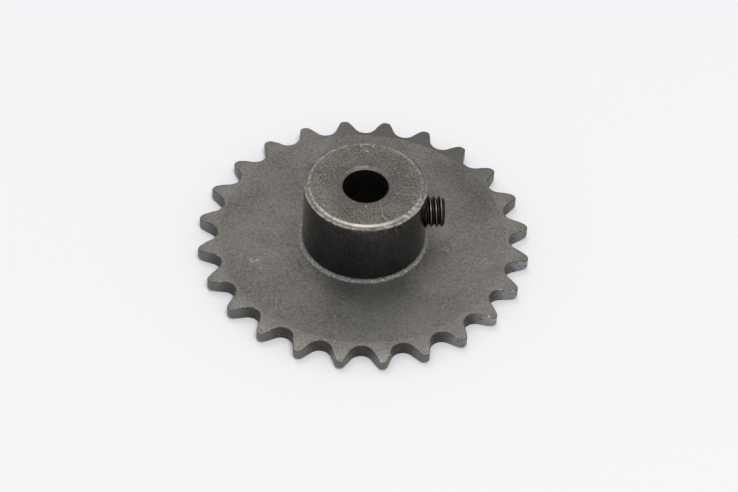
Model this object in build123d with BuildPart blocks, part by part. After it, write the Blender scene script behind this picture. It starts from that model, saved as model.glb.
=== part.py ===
"""Roller chain sprocket with a one-sided hub, held on its shaft by a set screw.

The toothed plate and the hub are one machined piece. The set screw is a piece of its own,
in a radial tapped hole about half way up the hub. Millimetres, +Z up. The origin is on the bore
axis at the plate's back face, and the set screw points along +X.
"""

from build123d import *

import os
from math import cos, radians, sin, tan

# Chain and teeth
CHAIN_PITCH = 6.35  # 04C (quarter inch) roller chain
TEETH = 24
SEAT_RADIUS = 1.84  # the arc that a chain roller sits in
TIP_RADIUS = 0.78  # the round crown of each tooth
TOOTH_PHASE = 5.8  # angle from the set screw to the nearest tooth, in degrees

# Toothed plate
PLATE_THICKNESS = 2.5
RELIEF_MARGIN = 0.6  # the side relief starts this far inside the root circle
RELIEF_ANGLE = 2.5  # slope of the side relief, in degrees
SIDE_ROUND_MARGIN = 1.1  # the sides turn in this far outside the root circle
SIDE_ROUND_RADIUS = 5.5  # guides the link plates on to the tooth

# Hub
HUB_HEIGHT = 11.4  # from the plate's front face to the hub's end
HUB_RADIUS = 9.37  # at the hub's end
HUB_TAPER = 0.1  # how much wider the hub is at its foot, on the radius
FOOT_FILLET = 0.52
RIM_CHAMFER_WIDTH = 0.72  # across the end face
RIM_CHAMFER_HEIGHT = 0.28  # down the hub's side
RIM_CREST_RADIUS = 0.6  # rounds the crest between the end face and the chamfer
RIM_CORNER_RADIUS = 0.2  # rounds the corner between the chamfer and the hub's side

# Bore
BORE_RADIUS = 3.5
BORE_CHAMFER = 0.45

# Set screw, M5, with a hexagon socket at its outer end and a cup point
SCREW_RADIUS = 2.475  # over the thread's crests
SCREW_LENGTH = 8.0
SCREW_ABOVE_PLATE = 5.6  # from the plate's front face to the screw's axis
SCREW_PROUD = 2.8  # how far it stands out of the hub
SCREW_CLEARANCE = 0.03  # on the radius, between the screw and its hole
SOCKET_ACROSS_FLATS = 2.5
SOCKET_DEPTH = 2.8
END_CHAMFER = 0.5
CUP_RADIUS = 1.25
CUP_DEPTH = 0.6

# Sizes that follow from these
half_pitch_angle = 180 / TEETH
pitch_radius = CHAIN_PITCH / 2 / sin(radians(half_pitch_angle))
root_radius = pitch_radius - SEAT_RADIUS
seating_angle = 120 - 90 / TEETH  # how far the roller seat wraps round a roller
flank_angle = half_pitch_angle + seating_angle / 2  # of a flank's normal to its tooth
total_height = PLATE_THICKNESS + HUB_HEIGHT
hub_foot_radius = HUB_RADIUS + HUB_TAPER
screw_height = PLATE_THICKNESS + SCREW_ABOVE_PLATE
screw_end = HUB_RADIUS + SCREW_PROUD
screw_tip = screw_end - SCREW_LENGTH


def polar(radius, angle):
    """A point at this radius and angle in degrees."""
    return Vector(radius * cos(radians(angle)), radius * sin(radians(angle)))


# A straight flank runs from the roller seat to the crown and is tangent to both,
# which sets how far out the crown's centre lies on the tooth's centre line.
seat_end = polar(pitch_radius, half_pitch_angle) - polar(SEAT_RADIUS, flank_angle)
crown_centre = (seat_end.dot(polar(1, flank_angle)) - TIP_RADIUS) / cos(radians(flank_angle))
outside_radius = crown_centre + TIP_RADIUS


# Toothed plate and hub, one piece
with BuildPart() as sprocket:
    with BuildSketch() as tooth_outline:
        with BuildLine():
            for tooth in range(TEETH):
                angle = TOOTH_PHASE + 2 * half_pitch_angle * tooth
                crown = polar(crown_centre, angle)
                seat = polar(pitch_radius, angle + half_pitch_angle)
                last_seat = polar(pitch_radius, angle - half_pitch_angle)
                rising_normal = polar(1, angle - flank_angle)
                falling_normal = polar(1, angle + flank_angle)
                Line(last_seat - rising_normal * SEAT_RADIUS, crown + rising_normal * TIP_RADIUS)
                CenterArc(crown, TIP_RADIUS, angle - flank_angle, 2 * flank_angle)
                Line(crown + falling_normal * TIP_RADIUS, seat - falling_normal * SEAT_RADIUS)
                CenterArc(seat, SEAT_RADIUS, angle + flank_angle + 180, -seating_angle)
        make_face()
    extrude(amount=PLATE_THICKNESS)

    # Both sides of the teeth are relieved: a shallow cone from just inside the root circle,
    # then an arc that turns in towards the tip.
    relief_start = root_radius - RELIEF_MARGIN
    round_start = root_radius + SIDE_ROUND_MARGIN
    round_depth = (round_start - relief_start) * tan(radians(RELIEF_ANGLE))
    with BuildSketch(Plane.XZ) as side_relief:
        with BuildLine():
            cone = Line((relief_start, 0), (round_start, round_depth))
            side_round = JernArc(cone @ 1, cone % 1, SIDE_ROUND_RADIUS, 40)
            Polyline(side_round @ 1, ((side_round @ 1).X, 0), (relief_start, 0))
        make_face()
        mirror(about=Plane.XZ.offset(-PLATE_THICKNESS / 2))
    revolve(axis=Axis.Z, mode=Mode.SUBTRACT)

    # Hub, turned with a slight taper, a rounded shallow chamfer at its rim and a fillet
    # where it meets the plate
    with BuildSketch(Plane.XZ) as hub_section:
        with BuildLine():
            Polyline(
                (0, 0),
                (hub_foot_radius, 0),
                (hub_foot_radius, PLATE_THICKNESS),
                (HUB_RADIUS, total_height - RIM_CHAMFER_HEIGHT),
                (HUB_RADIUS - RIM_CHAMFER_WIDTH, total_height),
                (0, total_height),
                close=True,
            )
        make_face()
    revolve(axis=Axis.Z)
    foot = sprocket.edges().filter_by(GeomType.CIRCLE).filter_by_position(
        Axis.Z, PLATE_THICKNESS, PLATE_THICKNESS
    )
    fillet(foot.sort_by(SortBy.RADIUS)[0], FOOT_FILLET)
    crest = sprocket.edges().filter_by(GeomType.CIRCLE).sort_by(Axis.Z)[-1]
    fillet(crest, RIM_CREST_RADIUS)
    corner = sprocket.edges().filter_by(GeomType.CIRCLE).filter_by_position(
        Axis.Z, total_height - RIM_CHAMFER_HEIGHT, total_height - RIM_CHAMFER_HEIGHT
    )
    fillet(corner, RIM_CORNER_RADIUS)

    # Bore, chamfered at both ends
    Hole(BORE_RADIUS)
    back_face = sprocket.faces().sort_by(Axis.Z)[0]
    hub_face = sprocket.faces().sort_by(Axis.Z)[-1]
    chamfer(back_face.inner_wires().edges() + hub_face.inner_wires().edges(), BORE_CHAMFER)

    # Tapped hole for the set screw, from the bore out through one side of the hub
    with BuildSketch(Plane((0, 0, screw_height), x_dir=(0, 1, 0), z_dir=(1, 0, 0))):
        Circle(SCREW_RADIUS + SCREW_CLEARANCE)
    extrude(amount=screw_end, mode=Mode.SUBTRACT)

sprocket.part.label = "sprocket"


# Set screw
with BuildPart() as set_screw:
    with BuildSketch(Plane((0, 0, screw_height), x_dir=(1, 0, 0), z_dir=(0, -1, 0))):
        with BuildLine():
            Polyline(
                (screw_tip + CUP_DEPTH, 0),
                (screw_tip, CUP_RADIUS),
                (screw_tip + SCREW_RADIUS - CUP_RADIUS, SCREW_RADIUS),
                (screw_end - END_CHAMFER, SCREW_RADIUS),
                (screw_end, SCREW_RADIUS - END_CHAMFER),
                (screw_end, 0),
                close=True,
            )
        make_face()
    revolve(axis=Axis((0, 0, screw_height), (1, 0, 0)))
    with BuildSketch(Plane((screw_end, 0, screw_height), x_dir=(0, 1, 0), z_dir=(1, 0, 0))):
        RegularPolygon(SOCKET_ACROSS_FLATS / 2, 6, major_radius=False)
    extrude(amount=-SOCKET_DEPTH, mode=Mode.SUBTRACT)

set_screw.part.label = "set_screw"


os.makedirs("parts", exist_ok=True)
export_step(sprocket.part, "parts/sprocket.step")
export_step(set_screw.part, "parts/set_screw.step")
print(f"outside diameter {2 * outside_radius:.2f} mm, pitch diameter {2 * pitch_radius:.2f} mm")
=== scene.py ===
"""Looks for a roller chain sprocket with a hub and a set screw.

The toothed wheel is built again with worn, rounded edges and gets a finish for each machined
surface, and the set screw gets its real thread. Metres, +Z up, with the bore on the Z axis and
the set screw along +X.
"""

import math
from functools import partial

import bmesh
import bpy
from mathutils import Matrix, Vector, noise


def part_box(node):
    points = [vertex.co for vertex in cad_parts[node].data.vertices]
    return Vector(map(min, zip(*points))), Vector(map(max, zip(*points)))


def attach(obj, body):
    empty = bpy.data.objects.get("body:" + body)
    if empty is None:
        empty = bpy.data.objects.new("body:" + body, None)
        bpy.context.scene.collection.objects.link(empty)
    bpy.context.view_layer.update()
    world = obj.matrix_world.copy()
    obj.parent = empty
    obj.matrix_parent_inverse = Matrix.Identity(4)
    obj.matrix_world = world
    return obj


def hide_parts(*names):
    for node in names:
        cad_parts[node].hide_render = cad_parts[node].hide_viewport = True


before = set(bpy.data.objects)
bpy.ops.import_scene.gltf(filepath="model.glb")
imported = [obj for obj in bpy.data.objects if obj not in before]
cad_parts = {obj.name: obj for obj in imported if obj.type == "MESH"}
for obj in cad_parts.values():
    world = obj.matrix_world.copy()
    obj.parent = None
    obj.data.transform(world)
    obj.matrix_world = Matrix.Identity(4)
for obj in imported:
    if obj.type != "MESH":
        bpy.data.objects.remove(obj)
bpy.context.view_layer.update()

bl_info = {
    "name": "Chain sprocket looks",
    "version": (1, 0, 0),
    "blender": (4, 5, 0),
    "location": "View3D > Sidebar > Sprocket",
    "description": "Dresses a chain sprocket and its set screw and sets up a pale studio",
    "category": "Object",
}

MM = 0.001
WHEEL_NODE = "sprocket"
SCREW_NODE = "set_screw"
THREAD_HALF_ANGLE = math.radians(30)  # of a metric thread's flanks

# How finely the teeth are drawn
SEAT_STEPS = 9  # in each half of a roller seat
FLANK_STEPS = 5
CROWN_STEPS = 16
SIDE_STEPS = 6  # up a tooth's relieved side
EDGE_STEPS = 3  # round a tooth's worn edge
HUB_STRIDE = 4  # the hub takes one in so many of the outline's points

# For masks that go by the distance across the plate, whatever the height
BORE_AXIS = (0, 0, 0)
ACROSS_PLATE = (1, 1, 0)

# The wheel's finishes, in the order of its material slots
(
    PLATE,
    TOOTH_SIDE,
    TOOTH_EDGE,
    TOOTH_WALL,
    FOOT,
    HUB_SIDE,
    RIM,
    CREST,
    HUB_FACE,
    MOUTH,
    BORE,
) = range(11)


def linear(hex_colour):
    """The linear RGBA that Blender's sockets take, from an sRGB hex value."""
    channels = [int(hex_colour[i : i + 2], 16) / 255 for i in (1, 3, 5)]
    return (
        *(c / 12.92 if c <= 0.04045 else ((c + 0.055) / 1.055) ** 2.4 for c in channels),
        1.0,
    )


def length(name, millimetres, description):
    """A length that the user can change."""
    return bpy.props.FloatProperty(
        name=name,
        description=description,
        default=millimetres * MM,
        unit="LENGTH",
        precision=5,
    )


def colour(name, hex_colour, description):
    """A colour that the user can change."""
    return bpy.props.FloatVectorProperty(
        name=name,
        description=description,
        default=linear(hex_colour),
        subtype="COLOR",
        size=4,
        min=0,
        max=1,
    )


class WheelSettings(bpy.types.PropertyGroup):
    """Sizes and colours of the toothed wheel."""

    teeth: bpy.props.IntProperty(name="Teeth", description="Number of teeth", default=24, min=8)
    tooth_phase: bpy.props.FloatProperty(
        name="Tooth phase",
        description="Angle from the set screw to the nearest tooth",
        default=math.radians(5.8),
        subtype="ANGLE",
    )
    chain_pitch: length("Chain pitch", 6.35, "Pitch of the roller chain")
    seat_radius: length("Seat radius", 1.84, "Radius of the arc that a chain roller sits in")
    tip_radius: length("Tip radius", 0.78, "Radius of the round crown of each tooth")
    plate_thickness: length("Plate thickness", 2.5, "Thickness of the toothed plate")
    relief_margin: length("Relief margin", 0.6, "How far inside the root circle the relief starts")
    relief_slope: bpy.props.FloatProperty(
        name="Relief slope",
        description="Slope of the relieved sides of the teeth",
        default=math.radians(2.5),
        subtype="ANGLE",
    )
    round_margin: length("Round margin", 1.1, "How far outside the root circle the sides turn in")
    round_radius: length("Round radius", 5.5, "Radius with which the sides turn in to the tip")
    hub_radius: length("Hub radius", 9.37, "Radius of the hub at its end")
    hub_taper: length("Hub taper", 0.1, "How much wider the hub is at its foot")
    foot_fillet: length("Foot fillet", 0.52, "Fillet between the hub and the plate")
    rim_width: length("Rim chamfer width", 0.72, "Width of the rim's chamfer across the end face")
    rim_height: length("Rim chamfer height", 0.28, "Height of the rim's chamfer")
    crest_radius: length("Rim crest radius", 1.3, "Rounding between end face and chamfer")
    corner_radius: length("Rim corner radius", 0.2, "Rounding between chamfer and hub side")
    bore_radius: length("Bore radius", 3.5, "Radius of the bore")
    bore_chamfer: length("Bore chamfer", 0.45, "Chamfer at both ends of the bore")
    screw_clearance: length("Screw clearance", 0.03, "Gap between the set screw and its hole")
    edge_break: length("Edge break", 0.1, "Mean rounding of the teeth's edges")
    wear: length("Wear", 0.03, "How far the teeth and the rim are worn out of true")
    plate_dark: colour("Plate, dark", "#565351", "Dark patches of the plate")
    plate_light: colour("Plate, light", "#76736f", "Light patches of the plate")
    # Painted shade: the front of the plate is drawn darker in this colour
    plate_front_shade: colour("Plate, front", "#494c49", "Darker, cleaner part of the plate")
    # Painted shade: the plate in front of the hub is drawn darker and bluer in this colour
    plate_hub_shade: colour("Plate, by the hub", "#3f4447", "Front of the plate close to the hub")
    dull: colour("Dull specks", "#5b5956", "Dark specks of the teeth and of the hub's foot")
    scoured: colour("Scoured steel", "#807e79", "Tooth sides near the tips, and pale speckle")
    valley: colour("Valleys", "#454441", "Walls between the teeth, and the hub side's dark patches")
    edge: colour("Tooth edges", "#4a4744", "Rounded edges of the teeth")
    flank: colour("Tooth wall, tip", "#707271", "Tooth walls at the tips")
    rubbed: colour("Rubbed steel", "#8e9192", "Hub's foot, and tooth walls with rubbed tips")
    hub_side: colour("Hub side", "#6d6c6b", "Light patches of the hub's turned side")
    face_dark: colour("Hub face, dark", "#433f3b", "Dark patches of the hub's end face")
    face_light: colour("Hub face, light", "#87817b", "Light patches of the hub's end face")
    speck: colour("Specks", "#a8a29b", "Fine bright specks and scratches")
    rim_dark: colour("Rim, dark", "#53504c", "Dark patches of the rim's chamfer")
    rim_light: colour("Rim, light", "#7d7872", "Light patches of the rim's chamfer")
    # Real rubbed crest and knocks, and also the painted highlight at the front of the rim's crest
    bright: colour("Rubbed crest", "#c4beb6", "Crest of the rim where it is rubbed bright")
    worn: colour("Worn crest", "#9d9790", "Light patches of the rim's crest")
    bore: colour("Bore", "#42403d", "Drilled bore and tapped hole")
    # Real stains on the plate; on the hub side near its foot this colour is painted shade
    stain_and_shade: colour("Dark stain", "#2c2b2b", "Stains on the plate, and the hub side near its foot")


class ScrewSettings(bpy.types.PropertyGroup):
    """Sizes and colours of the set screw."""

    pitch: length("Thread pitch", 0.8, "Advance of the thread in one turn")
    root_radius: length("Thread root radius", 2.0, "Radius at the bottom of the thread")
    root_width: length("Thread root width", 0.14, "Width of the flat at the bottom of the thread")
    thread_start: length("Thread start", 0.57, "Shift of the thread along the screw")
    root: colour("Thread roots", "#2a2521", "Black oxide in the thread")
    crest: colour("Thread crests", "#6f6862", "Crests of the thread, worn bright")


class StageSettings(bpy.types.PropertyGroup):
    """Colour of the studio's floor and strength of its light."""

    floor: colour("Floor", "#f4f4f6", "Matt floor")
    front_power: bpy.props.FloatProperty(
        name="Front power",
        description="Power of the soft lamp over the front of the object",
        default=5.5,
        unit="POWER",
    )
    back_power: bpy.props.FloatProperty(
        name="Back power",
        description="Power of the soft lamp behind the object",
        default=0.9,
        unit="POWER",
    )
    glow: bpy.props.FloatProperty(
        name="Surround light",
        description="Strength of the light that comes from all sides",
        default=0.52,
    )


def add_node(tree, kind, inputs=None, **settings):
    """Adds a node with its settings, and with each input linked to a socket or set to a value."""
    node = tree.nodes.new(kind)
    for name, value in settings.items():
        setattr(node, name, value)
    for key, value in (inputs or {}).items():
        if isinstance(value, bpy.types.NodeSocket):
            tree.links.new(value, node.inputs[key])
        else:
            node.inputs[key].default_value = value
    return node


def highest(tree, masks):
    """The highest of several masks."""
    result = masks[0]
    for mask in masks[1:]:
        result = add_node(
            tree, "ShaderNodeMath", {0: result, 1: mask}, operation="MAXIMUM"
        ).outputs[0]
    return result


def specks(tree, point, spacing, size, share):
    """A mask of small round specks, in this share of cells that lie this far apart, in mm.

    Real grit marks are finer than this. They are drawn as coarse as they need to show.
    """
    core = 0.4  # share of a speck's radius that is at full strength
    cells = add_node(tree, "ShaderNodeTexVoronoi", {"Vector": point, "Scale": 1 / spacing})
    chosen = add_node(
        tree,
        "ShaderNodeMath",
        {0: cells.outputs["Color"], 1: 1 - share},
        operation="GREATER_THAN",
    )
    return add_node(
        tree,
        "ShaderNodeMapRange",
        {
            "Value": cells.outputs["Distance"],
            "From Min": size / spacing,
            "From Max": core * size / spacing,
            "To Max": chosen.outputs[0],
        },
    ).outputs[0]


def broken(tree, point, mask, size, level):
    """A mask broken up by patches of this size in mm; a higher level leaves less of it."""
    softness = 0.08
    patches = add_node(
        tree, "ShaderNodeTexNoise", {"Vector": point, "Scale": 1 / size, "Detail": 3.0}
    )
    return add_node(
        tree,
        "ShaderNodeMapRange",
        {
            "Value": patches.outputs["Fac"],
            "From Min": level - softness,
            "From Max": level + softness,
            "To Max": mask,
        },
    ).outputs[0]


def scratches(tree, point, marks):
    """A mask of straight scratches: start, end and width in mm, and strength."""
    masks = []
    for start, end, width, strength in marks:
        run = Vector(end) - Vector(start)
        offset = add_node(
            tree, "ShaderNodeVectorMath", {0: point, 1: start}, operation="SUBTRACT"
        )
        along = add_node(
            tree,
            "ShaderNodeVectorMath",
            {0: offset.outputs[0], 1: run / run.length_squared},
            operation="DOT_PRODUCT",
        )
        share = add_node(tree, "ShaderNodeClamp", {"Value": along.outputs["Value"]})
        nearest = add_node(
            tree,
            "ShaderNodeVectorMath",
            {0: run, "Scale": share.outputs[0]},
            operation="SCALE",
        )
        distance = add_node(
            tree,
            "ShaderNodeVectorMath",
            {0: offset.outputs[0], 1: nearest.outputs[0]},
            operation="DISTANCE",
        )
        masks.append(
            add_node(
                tree,
                "ShaderNodeMapRange",
                {
                    "Value": distance.outputs["Value"],
                    "From Min": width / 2,
                    "From Max": 0.0,
                    "To Max": strength,
                },
            ).outputs[0]
        )
    return highest(tree, masks)


def curls(tree, point, marks):
    """A mask of rings that tumbling media leave: centre and radius in mm, and strength."""
    half_width = 0.1
    masks = []
    for centre, radius, strength in marks:
        distance = add_node(
            tree, "ShaderNodeVectorMath", {0: point, 1: centre}, operation="DISTANCE"
        )
        ring = add_node(
            tree,
            "ShaderNodeMath",
            {0: distance.outputs["Value"], 1: radius, 2: half_width},
            operation="COMPARE",
        )
        masks.append(
            add_node(
                tree, "ShaderNodeMath", {0: ring.outputs[0], 1: strength}, operation="MULTIPLY"
            ).outputs[0]
        )
    return broken(tree, point, highest(tree, masks), size=0.5, level=0.5)


def reach(tree, point, centre, directions, none_at, full_at, strength=1.0):
    """A mask by the distance in mm from a centre: nothing at one distance, full at another.

    directions says how much the distance along X, Y and Z counts.
    """
    offset = add_node(
        tree, "ShaderNodeVectorMath", {0: point, 1: centre}, operation="SUBTRACT"
    )
    flat = add_node(
        tree,
        "ShaderNodeVectorMath",
        {0: offset.outputs[0], 1: directions},
        operation="MULTIPLY",
    )
    distance = add_node(
        tree, "ShaderNodeVectorMath", {0: flat.outputs[0]}, operation="LENGTH"
    )
    return add_node(
        tree,
        "ShaderNodeMapRange",
        {
            "Value": distance.outputs["Value"],
            "From Min": none_at,
            "From Max": full_at,
            "To Max": strength,
        },
    ).outputs[0]


def lift(marks, height):
    """Marks on a flat face at this height in metres, from marks with their X and Y in mm."""
    return [
        [(*value, height / MM) if isinstance(value, tuple) else value for value in mark]
        for mark in marks
    ]


def steel(name, dark, light, roughness, cloud=4.0, grain=0.4, share=0.5, bump=0.01, layers=()):
    """A steel whose grey shifts in clouds and in a fine grain, with other colours over it.

    Sizes are in mm, share is the grain's part of the pattern, and each layer is a function that
    makes a mask, and the colour that goes over the steel where the mask is. The real grain is
    finer, and is drawn as coarse as it needs to show.
    """
    darkest, lightest = 0.36, 0.64  # values of the noise that give the two greys
    material = bpy.data.materials.new(name)
    material.use_nodes = True
    tree = material.node_tree
    tree.nodes.clear()
    coordinates = add_node(tree, "ShaderNodeTexCoord")
    scaled = add_node(
        tree,
        "ShaderNodeVectorMath",
        {0: coordinates.outputs["Object"], "Scale": 1 / MM},
        operation="SCALE",
    )
    point = scaled.outputs[0]
    clouds = add_node(
        tree,
        "ShaderNodeTexNoise",
        {"Vector": point, "Scale": 1 / cloud, "Detail": 4.0, "Roughness": 0.6},
    )
    grains = add_node(
        tree,
        "ShaderNodeTexNoise",
        {"Vector": point, "Scale": 1 / grain, "Detail": 2.0, "Roughness": 0.7},
    )
    pattern = add_node(
        tree,
        "ShaderNodeMix",
        {"Factor": share, "A": clouds.outputs["Fac"], "B": grains.outputs["Fac"]},
        data_type="FLOAT",
    )
    spread = add_node(
        tree,
        "ShaderNodeMapRange",
        {"Value": pattern.outputs[0], "From Min": darkest, "From Max": lightest},
    )
    shade = add_node(
        tree,
        "ShaderNodeMix",
        {"Factor": spread.outputs["Result"], "A": dark, "B": light},
        data_type="RGBA",
    )
    for make_mask, over in layers:
        shade = add_node(
            tree,
            "ShaderNodeMix",
            {"Factor": make_mask(tree, point), "A": shade.outputs[2], "B": over},
            data_type="RGBA",
        )
    relief = add_node(
        tree,
        "ShaderNodeBump",
        {"Height": grains.outputs["Fac"], "Distance": bump * MM, "Strength": 1.0},
    )
    shader = add_node(
        tree,
        "ShaderNodeBsdfPrincipled",
        {
            "Base Color": shade.outputs[2],
            "Metallic": 1.0,
            "Roughness": roughness,
            "Normal": relief.outputs["Normal"],
        },
    )
    add_node(tree, "ShaderNodeOutputMaterial", {"Surface": shader.outputs["BSDF"]})
    return material


def new_piece(name, mesh, materials):
    """An object at the origin that holds this bmesh."""
    data = bpy.data.meshes.new(name)
    mesh.to_mesh(data)
    mesh.free()
    for material in materials:
        data.materials.append(material)
    piece = bpy.data.objects.new(name, data)
    bpy.context.scene.collection.objects.link(piece)
    return piece


def cut(piece, tool, operation):
    """Applies a Boolean of the tool to the piece and removes the tool."""
    modifier = piece.modifiers.new("Cut", "BOOLEAN")
    modifier.operation = operation
    modifier.solver = "EXACT"
    modifier.object = tool
    bpy.context.view_layer.update()
    made = bpy.data.meshes.new_from_object(
        piece.evaluated_get(bpy.context.evaluated_depsgraph_get())
    )
    fewest_faces = 100
    if len(made.polygons) < fewest_faces:
        raise RuntimeError(f"the cut of {piece.name} left only {len(made.polygons)} faces")
    piece.modifiers.clear()
    piece.data = made
    bpy.data.objects.remove(tool)


def smooth(piece, degrees):
    """Shades a piece smooth, up to edges sharper than this."""
    for face in piece.data.polygons:
        face.use_smooth = True
    piece.data.set_sharp_from_angle(angle=math.radians(degrees))


def polar(radius, angle, height=0.0):
    """The point at this radius, angle in radians and height."""
    return Vector((radius * math.cos(angle), radius * math.sin(angle), height))


def patchy(point, size):
    """A value between 0 and 1 that changes over this distance."""
    return 0.5 + 0.5 * noise.noise(point / size)


def arc(centre, radius, start, turn, steps):
    """Points and outward normals along an arc, without its last point."""
    normals = [polar(1, start + turn * step / steps) for step in range(steps)]
    return [(centre + radius * normal, normal) for normal in normals]


def pitch_radius(wheel):
    """Radius of the circle that the centres of the chain's rollers lie on."""
    return wheel.chain_pitch / 2 / math.sin(math.pi / wheel.teeth)


def tooth_outline(wheel):
    """Points along the outside of all the teeth, each with its outward normal."""
    half = math.pi / wheel.teeth
    wrap = math.radians(60 - 45 / wheel.teeth)  # half of a seat's wrap round its roller
    tilt = half + wrap  # of a flank's normal to its tooth
    seat_radius = wheel.seat_radius
    seat_circle = pitch_radius(wheel)
    seat_end = polar(seat_circle, half) - polar(seat_radius, tilt)
    crown_centre = (seat_end.dot(polar(1, tilt)) - wheel.tip_radius) / math.cos(tilt)
    outline = []
    for tooth in range(wheel.teeth):
        angle = wheel.tooth_phase + 2 * half * tooth
        crown = polar(crown_centre, angle)
        last_seat = polar(seat_circle, angle - half)
        next_seat = polar(seat_circle, angle + half)
        rising, falling = (
            flank(wheel, crown, seat, polar(1, angle + side * tilt))
            for side, seat in ((-1, last_seat), (1, next_seat))
        )
        outline += hollow(last_seat, seat_radius, angle - half + math.pi, -wrap)
        outline += rising[:-1]
        outline += arc(crown, wheel.tip_radius, angle - tilt, 2 * tilt, CROWN_STEPS)
        outline += falling[:0:-1]
        outline += hollow(next_seat, seat_radius, angle + half + math.pi + wrap, -wrap)
    return outline


def hollow(centre, radius, start, turn):
    """Half of a roller seat. It is hollow, so its outward normals point to its centre."""
    return [(point, -normal) for point, normal in arc(centre, radius, start, turn, SEAT_STEPS)]


def flank(wheel, crown, seat, normal):
    """Points and normals up a straight flank, from its seat to its crown."""
    foot = seat - normal * wheel.seat_radius
    top = crown + normal * wheel.tip_radius
    return [(foot.lerp(top, step / FLANK_STEPS), normal) for step in range(FLANK_STEPS + 1)]


def root_radius(wheel):
    """Radius of the circle that touches the bottoms of the roller seats."""
    return pitch_radius(wheel) - wheel.seat_radius


def side_drop(wheel, radius):
    """How far the relieved side of a tooth lies below the plate's face at this radius."""
    start = root_radius(wheel) - wheel.relief_margin
    turn = root_radius(wheel) + wheel.round_margin
    slope = wheel.relief_slope
    if radius < turn:
        return max(0.0, radius - start) * math.tan(slope)
    sine = min(1.0, math.sin(slope) + (radius - turn) / wheel.round_radius)
    rounding = wheel.round_radius * (math.cos(slope) - math.sqrt(1 - sine * sine))
    return (turn - start) * math.tan(slope) + rounding


def tooth_face(wheel, point, normal, base, sign):
    """One face of the teeth at a place of their outline, from the plate's flat to the wall.

    base is the face's height and sign is 1 for the front face or -1 for the back. The wall's
    worn place comes after the points.
    """
    # Lengths over which the rounding and the wear change, and how far the flat reaches inwards
    rounding_patch, wear_patch, flat_margin = 0.9 * MM, 0.7 * MM, 0.25 * MM
    level = point + Vector((0, 0, base))
    break_radius = wheel.edge_break * (0.5 + patchy(level, rounding_patch))
    worn = wheel.wear * patchy(level, wear_patch)
    wall = point - normal * worn
    inset = wall - normal * break_radius
    angle = math.atan2(point.y, point.x)
    start_radius = root_radius(wheel) - wheel.relief_margin
    start = polar(start_radius, angle)
    flat = [polar(start_radius - flat_margin, angle)]
    flat += [start.lerp(inset, step / SIDE_STEPS) for step in range(SIDE_STEPS)]
    points = [Vector((p.x, p.y, base - sign * side_drop(wheel, p.length))) for p in flat]
    edge_height = base - sign * side_drop(wheel, point.length)
    for step in range(EDGE_STEPS + 1):
        bend = math.pi / 2 * step / EDGE_STEPS
        place = inset + normal * break_radius * math.sin(bend)
        drop = break_radius * (1 - math.cos(bend))
        points.append(Vector((place.x, place.y, edge_height - sign * drop)))
    return points, wall


def tooth_column(wheel, point, normal):
    """The points at one place of the teeth's outline, from the front face round to the back."""
    front, front_wall = tooth_face(wheel, point, normal, wheel.plate_thickness, 1)
    back, back_wall = tooth_face(wheel, point, normal, 0.0, -1)
    middle = front_wall.lerp(back_wall, 0.5)
    dent_patch = 0.4 * MM
    middle -= normal * wheel.wear * patchy(front_wall, dent_patch)
    middle.z = wheel.plate_thickness / 2
    return [*front, middle, *reversed(back)]


def rounded(before, corner, after, radius, steps):
    """Points of a fillet of this radius at a corner of a section."""
    back = (before - corner).normalized()
    ahead = (after - corner).normalized()
    half = back.angle(ahead) / 2
    centre = corner + (back + ahead).normalized() * radius / math.sin(half)
    start = (corner + back * radius / math.tan(half) - centre).normalized()
    end = (corner + ahead * radius / math.tan(half) - centre).normalized()
    return [centre + radius * start.slerp(end, step / steps) for step in range(steps + 1)]


def hub_section(wheel, height):
    """The hub's section from its foot over its end face and down the bore.

    Each entry is a point (radius, height), with the finish between it and the next.
    """
    thickness = wheel.plate_thickness
    chamfer = wheel.bore_chamfer
    foot = Vector((wheel.hub_radius + wheel.hub_taper, thickness))
    beyond_foot = Vector((2 * foot.x, thickness))
    corner = Vector((wheel.hub_radius, height - wheel.rim_height))
    crest = Vector((wheel.hub_radius - wheel.rim_width, height))
    mouth = Vector((wheel.bore_radius + chamfer, height))
    throat = Vector((wheel.bore_radius, height - chamfer))
    bore_foot = Vector((throat.x, 0))
    mouth_wear, throat_wear = 0.08 * MM, 0.05 * MM
    section = [(p, FOOT) for p in rounded(beyond_foot, foot, corner, wheel.foot_fillet, steps=6)]
    section[-1] = (section[-1][0], HUB_SIDE)
    # Points between the roundings keep the smooth shading of the long faces even
    section.append((foot.lerp(corner, 0.5), HUB_SIDE))
    section.append((foot.lerp(corner, 0.93), HUB_SIDE))
    section += [(p, RIM) for p in rounded(foot, corner, crest, wheel.corner_radius, steps=5)]
    section += [(p, CREST) for p in rounded(corner, crest, mouth, wheel.crest_radius, steps=4)]
    section[-1] = (section[-1][0], HUB_FACE)
    section.append((crest.lerp(mouth, 0.06), HUB_FACE))
    section.append((crest.lerp(mouth, 0.94), HUB_FACE))
    section += [(p, MOUTH) for p in rounded(crest, mouth, throat, mouth_wear, steps=3)]
    section += [(p, BORE) for p in rounded(mouth, throat, bore_foot, throat_wear, steps=3)]
    section.append((Vector((wheel.bore_radius, chamfer)), BORE))
    section.append((Vector((wheel.bore_radius + chamfer, 0)), PLATE))
    return section


def painted_front_shade(tree, point):
    """A mask of painted shade that darkens the plate's front."""
    return reach(
        tree, point, (1.0, -14.0, 0), (1, 0.9, 0), none_at=9.0, full_at=-4.0, strength=0.8
    )


def painted_hub_shade(tree, point):
    """A mask of painted shade on the front of the plate close to the hub, where it reflects the
    hub's dark side.
    """
    shade = painted_front_shade(tree, point)
    return reach(
        tree, point, BORE_AXIS, ACROSS_PLATE, none_at=14.5, full_at=9.5, strength=shade
    )


def rubbed_tips(tree, point):
    """A mask of the tooth walls that are rubbed at the tips, on one side of the wheel."""
    side = reach(tree, point, (21.0, -11.0, 0), ACROSS_PLATE, none_at=16.0, full_at=8.0)
    tips = reach(
        tree, point, BORE_AXIS, ACROSS_PLATE, none_at=22.4, full_at=24.2, strength=side
    )
    return broken(tree, point, tips, size=0.8, level=0.42)


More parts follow.
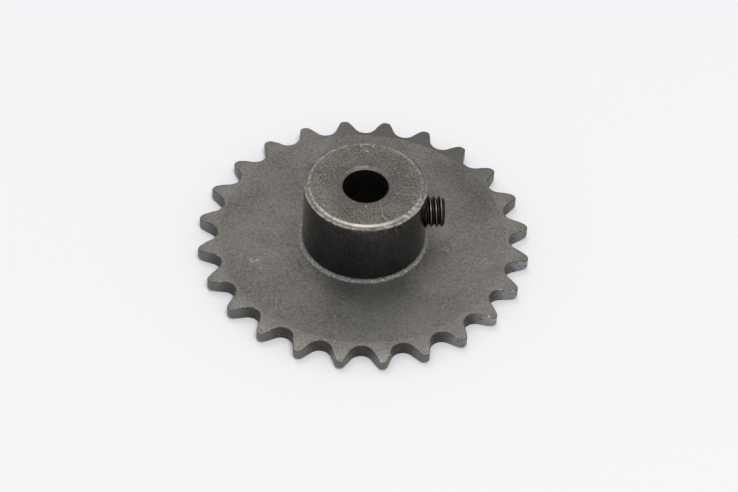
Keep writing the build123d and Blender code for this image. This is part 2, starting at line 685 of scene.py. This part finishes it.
def rim_corner(tree, point):
    """A mask of the worn line round the rim's corner, on both sides of the front."""
    front = reach(tree, point, (0, 9.0, 0), (0, 1, 0), none_at=7.0, full_at=11.0)
    sides = reach(
        tree, point, (0.5, -9.2, 0), ACROSS_PLATE, none_at=1.5, full_at=5.0, strength=front
    )
    corner = reach(
        tree, point, BORE_AXIS, ACROSS_PLATE, none_at=9.0, full_at=9.3, strength=sides
    )
    return broken(tree, point, corner, size=0.9, level=0.46)


def rim_scars(tree, point):
    """A mask of the knocks that lie across the rim."""
    marks = [
        ((-2.09, -8.7, 13.85), (-2.12, -9.3, 13.55), 0.5, 0.7),
        ((2.6, -8.5, 13.8), (3.1, -8.8, 13.7), 0.6, 0.5),
        ((5.5, -6.6, 13.85), (6.2, -6.5, 13.75), 0.8, 0.7),
        ((6.5, -5.7, 13.8), (7.2, -5.5, 13.7), 0.9, 0.8),
        ((7.1, -5.0, 13.85), (7.7, -4.9, 13.7), 0.8, 0.8),
        ((7.6, -4.1, 13.85), (8.2, -3.9, 13.75), 0.7, 0.7),
        ((8.1, -3.2, 13.85), (8.5, -2.9, 13.7), 0.6, 0.6),
        ((-6.9, -4.9, 13.85), (-6.3, -5.7, 13.85), 0.6, 0.5),
    ]
    return broken(tree, point, scratches(tree, point, marks), size=0.35, level=0.48)


def plate_steel(wheel):
    """Flat of the plate: grey brown, with the dull fine speckle of tumbling."""
    scratch_marks = [
        ((-17.28, -4.69), (-17.3, -5.31), 0.26, 0.8),
        ((-17.3, -5.31), (-17.05, -5.62), 0.26, 0.8),
        ((-17.05, -5.62), (-16.75, -5.48), 0.26, 0.8),
        ((-16.75, -5.48), (-16.37, -4.99), 0.26, 0.7),
        ((-6.02, -9.04), (-4.18, -7.37), 0.15, 0.35),
        ((19.1, -14.9), (19.6, -14.95), 0.25, 0.5),
        ((18.1, -15.0), (18.4, -15.15), 0.25, 0.45),
    ]
    stain_marks = [
        ((-10.2, -5.35), (-9.36, -7.0), 0.55, 0.5),
        ((18.5, 6.5), (14.5, 14.0), 7.5, 0.32),
    ]
    curl_marks = [
        ((-16.52, -4.99), 0.45, 0.45),
        ((-17.2, -5.2), 0.35, 0.3),
        ((-18.43, -3.97), 0.35, 0.2),
        ((14.02, -2.19), 0.4, 0.42),
        ((12.62, -2.56), 0.35, 0.42),
        ((20.9, -2.82), 0.5, 0.3),
        ((18.6, -5.1), 0.45, 0.35),
        ((16.0, -11.4), 0.4, 0.2),
    ]
    height = wheel.plate_thickness
    return steel(
        "Tumbled plate steel",
        wheel.plate_dark,
        wheel.plate_light,
        roughness=0.52,
        cloud=7.0,
        share=0.6,
        layers=[
            (partial(specks, spacing=0.35, size=0.13, share=0.3), wheel.scoured),
            # Painted shade: the plate's front is drawn darker, and darker still in front of the hub
            (painted_front_shade, wheel.plate_front_shade),
            (painted_hub_shade, wheel.plate_hub_shade),
            (partial(scratches, marks=lift(scratch_marks, height)), wheel.speck),
            (partial(scratches, marks=lift(stain_marks, height)), wheel.stain_and_shade),
            (partial(curls, marks=lift(curl_marks, height)), wheel.speck),
        ],
    )


def tooth_side_steel(wheel):
    """Relieved sides of the teeth: the plate's steel, scoured lighter towards the tips."""
    tips = partial(
        reach,
        centre=BORE_AXIS,
        directions=ACROSS_PLATE,
        none_at=21.2,
        full_at=23.0,
        strength=0.35,
    )
    far_teeth = partial(
        reach,
        centre=(8.0, 20.0, 0),
        directions=ACROSS_PLATE,
        none_at=17.0,
        full_at=7.0,
        strength=0.85,
    )
    return steel(
        "Scoured tooth sides",
        wheel.plate_dark,
        wheel.plate_light,
        roughness=0.5,
        cloud=7.0,
        share=0.6,
        layers=[
            (partial(specks, spacing=0.35, size=0.13, share=0.3), wheel.scoured),
            (tips, wheel.scoured),
            (partial(specks, spacing=0.4, size=0.16, share=0.5), wheel.rim_light),
            (partial(specks, spacing=0.35, size=0.16, share=0.4), wheel.plate_dark),
            (partial(specks, spacing=0.6, size=0.2, share=0.25), wheel.face_light),
            (far_teeth, wheel.plate_dark),
        ],
    )


def tooth_edge_steel(wheel):
    """Edges of the teeth: dark, with the light specks of a worn burr."""
    return steel(
        "Worn tooth edges",
        wheel.edge,
        wheel.dull,
        roughness=0.45,
        layers=[
            (partial(specks, spacing=0.45, size=0.2, share=0.4), wheel.scoured),
            (partial(specks, spacing=0.6, size=0.25, share=0.3), wheel.speck),
        ],
    )


def tooth_wall_steel(wheel):
    """Tooth walls: dark steel, darker between the teeth as painted shade of the valleys, and
    lighter grey at the tips.
    """
    tips = partial(
        reach,
        centre=BORE_AXIS,
        directions=ACROSS_PLATE,
        none_at=22.6,
        full_at=24.4,
        strength=0.9,
    )
    # Painted shade: the walls stay dark between the teeth and lighten only towards the tips
    return steel(
        "Hobbed tooth walls",
        wheel.valley,
        wheel.edge,
        roughness=0.5,
        cloud=1.5,
        grain=0.35,
        layers=[
            (tips, wheel.flank),
            (rubbed_tips, wheel.rubbed),
            (partial(specks, spacing=0.35, size=0.17, share=0.12), wheel.scoured),
            (partial(specks, spacing=0.4, size=0.2, share=0.3), wheel.dull),
        ],
    )


def foot_steel(wheel):
    """Fillet at the hub's foot: turned, lighter than the plate and speckled, with painted shade at
    its front.
    """
    return steel(
        "Turned foot fillet",
        wheel.plate_light,
        wheel.rubbed,
        roughness=0.72,
        cloud=2.0,
        grain=0.3,
        share=0.8,
        layers=[
            # Painted shade: the front of the fillet is drawn darker
            (painted_front_shade, wheel.edge),
            (partial(specks, spacing=0.35, size=0.17, share=0.55), wheel.speck),
            (partial(specks, spacing=0.3, size=0.17, share=0.5), wheel.dull),
        ],
    )


def hub_side_steel(wheel, height):
    """Hub side: turned smooth, with painted shade that darkens it towards the plate, and a few
    light scratches.
    """
    # Painted shade: the side is drawn darker down towards the plate
    painted_shade_by_plate = partial(
        reach,
        centre=(0, 0, height / MM),
        directions=(0, 0, 1),
        none_at=2.0,
        full_at=11.0,
        strength=0.55,
    )
    marks = [
        ((-9.16, -2.19, 7.2), (-8.5, -4.05, 6.7), 0.45, 1.3),
        ((4.31, -8.38, 12.9), (4.78, -8.11, 11.7), 0.35, 0.6),
        ((8.94, -2.99, 7.3), (8.53, -4.0, 6.65), 0.35, 0.6),
    ]
    return steel(
        "Turned hub side",
        wheel.valley,
        wheel.hub_side,
        roughness=0.22,
        share=0.75,
        bump=0.007,
        layers=[
            (painted_shade_by_plate, wheel.stain_and_shade),
            (partial(scratches, marks=marks), wheel.speck),
        ],
    )


def rim_steel(wheel):
    """Chamfer of the rim: scuffed, with its corner rubbed to a lighter line."""
    return steel(
        "Scuffed rim chamfer",
        wheel.rim_dark,
        wheel.rim_light,
        roughness=0.6,
        cloud=1.5,
        layers=[(rim_corner, wheel.speck), (rim_scars, wheel.bright)],
    )


def crest_steel(wheel):
    """Crest of the rim: worn bright in patches, with a painted highlight that makes it brightest at
    the front.
    """
    # Painted highlight: the front of the crest is drawn brighter
    front = partial(
        reach,
        centre=(0.2, -8.6, 0),
        directions=ACROSS_PLATE,
        none_at=5.5,
        full_at=1.0,
        strength=0.58,
    )
    return steel(
        "Worn rim edges",
        wheel.rim_dark,
        wheel.worn,
        roughness=0.38,
        cloud=1.2,
        grain=0.3,
        bump=0.006,
        layers=[(front, wheel.bright), (rim_scars, wheel.bright)],
    )


def hub_face_steel(wheel, height):
    """End face of the hub: brownish, with painted shade that darkens it towards the bore, crowded
    with fine bright specks.
    """
    # Painted shade: the face is drawn darker towards the bore
    painted_bore_shade = partial(
        reach,
        centre=BORE_AXIS,
        directions=ACROSS_PLATE,
        none_at=9.5,
        full_at=1.0,
        strength=0.9,
    )
    marks = [
        ((2.09, -3.25), (2.21, -4.91), 0.2, 0.4),
        ((2.21, -4.91), (2.48, -6.16), 0.2, 0.35),
        ((2.3, -6.3), (3.34, -7.81), 0.3, 0.5),
        ((4.43, -1.84), (8.28, -2.36), 0.2, 0.4),
        ((4.38, 0.03), (7.33, -0.85), 0.2, 0.2),
        ((0.25, 7.1), (0.35, 7.1), 0.4, 1.3),
        ((-0.65, 8.2), (-0.55, 8.2), 0.4, 1.0),
        ((1.3, 8.1), (1.4, 8.1), 0.4, 1.0),
        ((-6.2, 2.0), (-6.1, 2.0), 0.35, 0.9),
        ((-3.85, 3.86), (-2.31, 4.94), 0.2, 0.35),
    ]
    return steel(
        "Faced hub end",
        wheel.face_dark,
        wheel.face_light,
        roughness=0.5,
        grain=0.33,
        share=0.65,
        layers=[
            (painted_bore_shade, wheel.face_dark),
            (partial(specks, spacing=0.45, size=0.15, share=0.3), wheel.rim_light),
            (partial(specks, spacing=0.9, size=0.17, share=0.25), wheel.speck),
            (partial(scratches, marks=lift(marks, height)), wheel.speck),
        ],
    )


def mouth_steel(wheel):
    """Mouth of the bore: countersunk, lighter than the end face round it."""
    return steel("Countersunk mouth", wheel.dull, wheel.rim_light, roughness=0.6, share=0.7)


def bore_steel(wheel):
    """Bore and tapped hole: dull and dark, as the tools left them."""
    return steel("Drilled bore", wheel.bore, wheel.bore, roughness=0.45)


class SPROCKET_OT_wheel(bpy.types.Operator):
    """Builds the toothed wheel with its worn edges and gives each surface its finish"""

    bl_idname = "sprocket.wheel"
    bl_label = "Toothed wheel"

    def finishes(self, wheel, height):
        """The wheel's materials, in the order of its slots."""
        return [
            plate_steel(wheel),
            tooth_side_steel(wheel),
            tooth_edge_steel(wheel),
            tooth_wall_steel(wheel),
            foot_steel(wheel),
            hub_side_steel(wheel, height),
            rim_steel(wheel),
            crest_steel(wheel),
            hub_face_steel(wheel, height),
            mouth_steel(wheel),
            bore_steel(wheel),
        ]

    def tooth_band(self, wheel, mesh):
        """Adds the relieved sides, edges and walls of the teeth, and returns its end rings."""
        columns = [tooth_column(wheel, point, normal) for point, normal in tooth_outline(wheel)]
        rings = [[mesh.verts.new(point) for point in row] for row in zip(*columns)]
        # One finish for each band between two rings, from the front face round to the back
        finishes = [PLATE] + [TOOTH_SIDE] * SIDE_STEPS + [TOOTH_EDGE] * EDGE_STEPS
        finishes += [TOOTH_WALL] * (2 + EDGE_STEPS) + [TOOTH_SIDE] * SIDE_STEPS + [PLATE]
        self.skin(mesh, rings, finishes)
        return rings[0], rings[-1]

    def hub(self, wheel, mesh, height, angles):
        """Adds the hub and the bore, and returns its end rings."""
        section = hub_section(wheel, height)
        # The rim's dents change over this length, and go down by this share of their depth
        dent_patch, dent_drop = 1.1 * MM, 0.6
        rings = []
        for point, finish in section:
            ring = []
            for angle in angles:
                place = polar(point.x, angle, point.y)
                if finish in (RIM, CREST):
                    dent = wheel.wear * patchy(place, dent_patch)
                    place = polar(point.x - dent, angle, point.y - dent_drop * dent)
                ring.append(mesh.verts.new(place))
            rings.append(ring)
        self.skin(mesh, rings, [finish for _, finish in section])
        return rings[0], rings[-1]

    def skin(self, mesh, rings, finishes):
        """Joins each ring to the next with faces of the ring's finish."""
        for ring, following, finish in zip(rings, rings[1:], finishes):
            for index in range(len(ring)):
                after = (index + 1) % len(ring)
                face = mesh.faces.new(
                    (ring[index], following[index], following[after], ring[after])
                )
                face.material_index = finish

    def annulus(self, mesh, outer, inner):
        """Fills between a ring and a coarser one inside it with faces of the plate's finish."""
        for index in range(len(inner)):
            after = (index + 1) % len(inner)
            outer_arc = [
                outer[(index * HUB_STRIDE + step) % len(outer)] for step in range(HUB_STRIDE + 1)
            ]
            mesh.faces.new((inner[after], inner[index], *outer_arc)).material_index = PLATE

    def screw_hole(self, wheel):
        """The rod that the set screw's hole is cut with, from the bore's axis outwards."""
        low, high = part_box(SCREW_NODE)
        drill = bmesh.new()
        hole_radius = (high.z - low.z) / 2 + wheel.screw_clearance
        bmesh.ops.create_cone(
            drill,
            cap_ends=True,
            segments=72,
            radius1=hole_radius,
            radius2=hole_radius,
            depth=high.x,
            matrix=Matrix.Translation((high.x / 2, 0, (low.z + high.z) / 2))
            @ Matrix.Rotation(math.pi / 2, 4, "Y"),
        )
        for face in drill.faces:
            face.material_index = BORE
        return new_piece("screw_hole", drill, [])

    def execute(self, context):
        wheel = context.scene.sprocket_wheel
        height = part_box(WHEEL_NODE)[1].z
        mesh = bmesh.new()
        top, bottom = self.tooth_band(wheel, mesh)
        angles = [math.atan2(vertex.co.y, vertex.co.x) for vertex in top[::HUB_STRIDE]]
        hub_top, hub_bottom = self.hub(wheel, mesh, height, angles)
        self.annulus(mesh, top, hub_top)
        self.annulus(mesh, bottom, hub_bottom)
        bmesh.ops.recalc_face_normals(mesh, faces=mesh.faces)
        piece = new_piece("toothed_wheel", mesh, self.finishes(wheel, height))
        cut(piece, self.screw_hole(wheel), "DIFFERENCE")
        smooth(piece, degrees=40)
        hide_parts(WHEEL_NODE)
        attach(piece, "wheel")
        return {"FINISHED"}


class SPROCKET_OT_screw(bpy.types.Operator):
    """Cuts the thread into the set screw"""

    bl_idname = "sprocket.screw"
    bl_label = "Set screw"

    def threaded_rod(self, screw, low, high):
        """A threaded rod that is a little longer and thicker than the screw.

        It stands over the plain screw's side, so that this is left as the thread's crest.
        """
        axis_height = (low.z + high.z) / 2
        allowance = 0.03 * MM
        outside = (high.z - low.z) / 2 + allowance
        root_half = screw.root_width / 2
        flank_width = (outside - screw.root_radius) * math.tan(THREAD_HALF_ANGLE)
        # One pitch of the thread, from one crest to the next by way of the root
        profile = [
            (-screw.pitch / 2, outside),
            (-root_half - flank_width, outside),
            (-root_half, screw.root_radius),
            (root_half, screw.root_radius),
            (root_half + flank_width, outside),
            (screw.pitch / 2, outside),
        ]
        turns_before, turns_after = 3, 2
        start = low.x - turns_before * screw.pitch + screw.thread_start
        turns = math.ceil((high.x - low.x) / screw.pitch) + turns_before + turns_after
        steps_per_turn = 64
        rod = bmesh.new()
        chain = [rod.verts.new((start + x, 0, axis_height + radius)) for x, radius in profile]
        edges = [rod.edges.new(pair) for pair in zip(chain, chain[1:])]
        bmesh.ops.spin(
            rod,
            geom=chain + edges,
            cent=(0, 0, axis_height),
            axis=(1, 0, 0),
            dvec=(screw.pitch / steps_per_turn, 0, 0),
            angle=2 * math.pi * turns,
            steps=turns * steps_per_turn,
            use_merge=False,
        )
        bmesh.ops.remove_doubles(rod, verts=rod.verts, dist=0.001 * MM)
        self.close_ends(rod, low.x - screw.pitch / 2, high.x + screw.pitch / 2)
        bmesh.ops.recalc_face_normals(rod, faces=rod.faces)
        return rod

    def close_ends(self, rod, inner_end, outer_end):
        """Cuts a rod off square at both ends and closes it there."""
        for x, side in ((inner_end, -1), (outer_end, 1)):
            bmesh.ops.bisect_plane(
                rod,
                geom=rod.verts[:] + rod.edges[:] + rod.faces[:],
                plane_co=(x, 0, 0),
                plane_no=(side, 0, 0),
                clear_outer=True,
            )
            rim = [
                edge
                for edge in rod.edges
                if edge.is_boundary and all(abs(end.co.x - x) < 0.0001 * MM for end in edge.verts)
            ]
            bmesh.ops.contextual_create(rod, geom=rim)

    def oxide(self, screw, low, high):
        """Black oxide, worn through to the steel on the crests that stand out of the hub; the
        crests close to the hub keep the dark oxide, which also stands for painted shade of the hub.
        """
        axis = (0, 0, (low.z + high.z) / 2 / MM)
        crest_radius = (high.z - low.z) / 2 / MM

        def worn_crests(tree, point):
            inner_end = (low.x / MM, 0, 0)
            # Partly painted shade: the crests close to the hub's side stay dark
            outside = reach(tree, point, inner_end, (1, 0, 0), none_at=5.0, full_at=5.7)
            return reach(
                tree,
                point,
                axis,
                (0, 1, 1),
                none_at=crest_radius - 0.1,
                full_at=crest_radius,
                strength=outside,
            )

        return steel(
            "Black oxide screw steel",
            screw.root,
            screw.root,
            roughness=0.45,
            bump=0.004,
            layers=[(worn_crests, screw.crest)],
        )

    def execute(self, context):
        screw = context.scene.sprocket_screw
        low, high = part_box(SCREW_NODE)
        rod = self.threaded_rod(screw, low, high)
        oxide = self.oxide(screw, low, high)
        plain = bmesh.new()
        plain.from_mesh(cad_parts[SCREW_NODE].data)
        bmesh.ops.remove_doubles(plain, verts=plain.verts, dist=0.0001 * MM)
        piece = new_piece("threaded_set_screw", plain, [oxide])
        cut(piece, new_piece("thread", rod, [oxide]), "INTERSECT")
        smooth(piece, degrees=30)
        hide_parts(SCREW_NODE)
        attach(piece, "screw")
        return {"FINISHED"}


class SPROCKET_OT_stage(bpy.types.Operator):
    """Lays the pale floor, hangs the soft lamps and places the camera"""

    bl_idname = "sprocket.stage"
    bl_label = "Studio"

    def lay_floor(self, stage):
        """A wide matt floor, just under the plate's back face."""
        gap = 0.002 * MM
        sheet = bmesh.new()
        bmesh.ops.create_grid(sheet, x_segments=1, y_segments=1, size=3.0)
        bmesh.ops.translate(sheet, verts=sheet.verts, vec=(0, 0, -gap))
        material = bpy.data.materials.new("Matt white sweep")
        material.use_nodes = True
        shader = material.node_tree.nodes["Principled BSDF"]
        shader.inputs["Base Color"].default_value = stage.floor
        shader.inputs["Roughness"].default_value = 0.9
        new_piece("studio_floor", sheet, [material])

    def light_surround(self, context, stage):
        """A world that is plain white to the camera and in reflections, and lights softly."""
        world = bpy.data.worlds.new("Pale studio")
        context.scene.world = world
        world.use_nodes = True
        tree = world.node_tree
        tree.nodes.clear()
        path = add_node(tree, "ShaderNodeLightPath")
        seen = highest(
            tree,
            [path.outputs[f"Is {ray} Ray"] for ray in ("Camera", "Glossy", "Transmission")],
        )
        white = (1.0, 1.0, 1.0, 1.0)
        glow = add_node(tree, "ShaderNodeBackground", {"Color": white, "Strength": stage.glow})
        plain = add_node(tree, "ShaderNodeBackground", {"Color": white, "Strength": 1.0})
        mix = add_node(
            tree, "ShaderNodeMixShader", {0: seen, 1: glow.outputs[0], 2: plain.outputs[0]}
        )
        add_node(tree, "ShaderNodeOutputWorld", {"Surface": mix.outputs[0]})

    def hang_lamp(self, context, name, place, diameter, power):
        """A round softbox, in metres, that faces the part."""
        lamp = bpy.data.lights.new(name, "AREA")
        lamp.shape = "DISK"
        lamp.size = diameter
        lamp.energy = power
        softbox = bpy.data.objects.new(name, lamp)
        softbox.location = place
        softbox.rotation_euler = softbox.location.to_track_quat("Z", "Y").to_euler()
        context.scene.collection.objects.link(softbox)

    def place_camera(self, context):
        """A long lens that looks down on the part from the front, in mm and degrees."""
        elevation = 46.896
        distance = 543.1
        swing = Matrix.Rotation(math.radians(-3), 4, "Z")
        tilt = Matrix.Rotation(math.radians(90 - elevation), 4, "X")
        roll = Matrix.Rotation(math.radians(2.6), 4, "Z")
        turn = swing @ tilt @ roll
        aim = swing @ Vector((0.914, 0.147, 0.138)) * MM
        back = turn.col[2].to_3d()
        camera_data = bpy.data.cameras.new("Camera")
        camera_data.sensor_width = 36
        camera_data.lens = 171.61
        camera_data.clip_start = 0.05
        camera_data.clip_end = 10
        camera = bpy.data.objects.new("Camera", camera_data)
        camera.matrix_world = Matrix.Translation(aim + back * distance * MM) @ turn
        context.scene.collection.objects.link(camera)
        context.scene.camera = camera

    def execute(self, context):
        stage = context.scene.sprocket_stage
        self.lay_floor(stage)
        self.light_surround(context, stage)
        self.hang_lamp(context, "Front softbox", (0.14, -0.41, 1.05), 0.45, stage.front_power)
        self.hang_lamp(context, "Back softbox", (-0.12, 0.32, 0.8), 0.34, stage.back_power)
        self.place_camera(context)
        context.scene.view_settings.view_transform = "Standard"
        return {"FINISHED"}


class SPROCKET_PT_panel(bpy.types.Panel):
    """Lists the pieces and the studio"""

    bl_idname = "SPROCKET_PT_panel"
    bl_label = "Sprocket"
    bl_space_type = "VIEW_3D"
    bl_region_type = "UI"
    bl_category = "Sprocket"

    def draw(self, context):
        for part in ("wheel", "screw", "stage"):
            box = self.layout.box()
            settings = getattr(context.scene, f"sprocket_{part}")
            for name in settings.__annotations__:
                box.prop(settings, name)
            box.operator(f"sprocket.{part}")


classes = (
    WheelSettings,
    ScrewSettings,
    StageSettings,
    SPROCKET_OT_wheel,
    SPROCKET_OT_screw,
    SPROCKET_OT_stage,
    SPROCKET_PT_panel,
)


def register():
    for each in classes:
        bpy.utils.register_class(each)
    bpy.types.Scene.sprocket_wheel = bpy.props.PointerProperty(type=WheelSettings)
    bpy.types.Scene.sprocket_screw = bpy.props.PointerProperty(type=ScrewSettings)
    bpy.types.Scene.sprocket_stage = bpy.props.PointerProperty(type=StageSettings)


def unregister():
    del bpy.types.Scene.sprocket_stage
    del bpy.types.Scene.sprocket_screw
    del bpy.types.Scene.sprocket_wheel
    for each in reversed(classes):
        bpy.utils.unregister_class(each)


def main():
    register()
    bpy.ops.sprocket.stage()
    bpy.ops.sprocket.wheel()
    bpy.ops.sprocket.screw()


if __name__ == "__main__":
    main()
